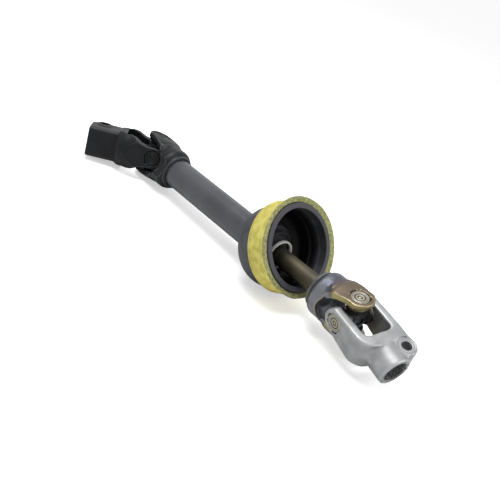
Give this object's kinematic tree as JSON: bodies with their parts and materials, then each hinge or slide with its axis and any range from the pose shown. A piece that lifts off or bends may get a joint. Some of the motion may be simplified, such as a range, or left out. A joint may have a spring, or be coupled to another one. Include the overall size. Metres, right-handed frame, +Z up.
{
  "type": "intermediate steering shaft",
  "caption": "Telescoping intermediate steering shaft with a cardan joint at each end, splined and slotted clamp yokes, and a rubber dust boot with a foam ring.",
  "frame": {"origin": "on the axis of the lower splined bore, level with its pinch bolt", "axes": "+Z up as the shaft lies on a bench, +X along the shaft towards the steering gear, seen from above"},
  "size_m": [0.3936, 0.0983, 0.0845],
  "materials": {
    "black_paint": "satin black coating",
    "tube_paint": "satin black coating, a little greyer",
    "cross_steel": "dark oiled forging",
    "cup_dark": "satin black coating",
    "cup_bright": "ground",
    "needle_steel": "ground",
    "seal_rubber": "matte",
    "bush_plastic": "matte",
    "boot_rubber": "matte",
    "foam": "matte open foam",
    "bar_steel": "oiled",
    "yoke_steel": "heat-tinted",
    "cast_alloy": "satin forging"
  },
  "bodies": {
    "tube": {"tube_yoke": "black_paint", "tube_cup_top": "cup_dark", "tube_cup_bottom": "cup_dark", "outer_tube": "tube_paint", "slide_bush": "bush_plastic"},
    "boot": {"dust_boot": "boot_rubber", "foam_ring": "foam", "hub_bearing": "bush_plastic"},
    "bar": {"sliding_bar": "bar_steel", "shaft_yoke": "yoke_steel", "shaft_cup_top": "cup_bright", "shaft_cup_bottom": "cup_bright"},
    "lower_cross": {"lower_cross": "cross_steel", "lower_needles": "needle_steel", "lower_seals": "seal_rubber"},
    "end_yoke": {"end_yoke": "cast_alloy", "end_cup_near": "cup_bright", "end_cup_far": "cup_bright"},
    "upper_cross": {"upper_cross": "cross_steel", "upper_needles": "needle_steel", "upper_seals": "seal_rubber"},
    "clamp_yoke": {"clamp_yoke": "black_paint", "clamp_cup_near": "cup_dark", "clamp_cup_far": "cup_dark"}
  },
  "joints": [
    {"name": "boot_turn", "type": "hinge", "parent": "tube", "child": "boot", "pos_m": [-0.1465, 0.00469, 0.00338], "axis": [0.9992, 0, 0.0401], "continuous": true},
    {"name": "bar_slide", "type": "slide", "parent": "tube", "child": "bar", "axis": [0.9992, 0, 0.0401], "range_m": [-0.01, 0.04]},
    {"name": "lower_cross_turn", "type": "hinge", "parent": "bar", "child": "lower_cross", "pos_m": [-0.04258, 0.00469, 0.00755], "axis": [-0.0391, -0.23, 0.9724], "range_deg": [-24, 42]},
    {"name": "end_yoke_turn", "type": "hinge", "parent": "lower_cross", "child": "end_yoke", "pos_m": [-0.04258, 0.00469, 0.00755], "axis": [0.1472, 0.9612, 0.2333], "range_deg": [-43.5, 22.5]},
    {"name": "upper_cross_turn", "type": "hinge", "parent": "tube", "child": "upper_cross", "pos_m": [-0.32236, 0.00469, -0.00369], "axis": [-0.0394, 0.1857, 0.9818], "range_deg": [-98, 2]},
    {"name": "clamp_yoke_turn", "type": "hinge", "parent": "upper_cross", "child": "clamp_yoke", "pos_m": [-0.32236, 0.00469, -0.00369], "axis": [0.7376, -0.6575, 0.154], "range_deg": [-39, 17]}
  ]
}
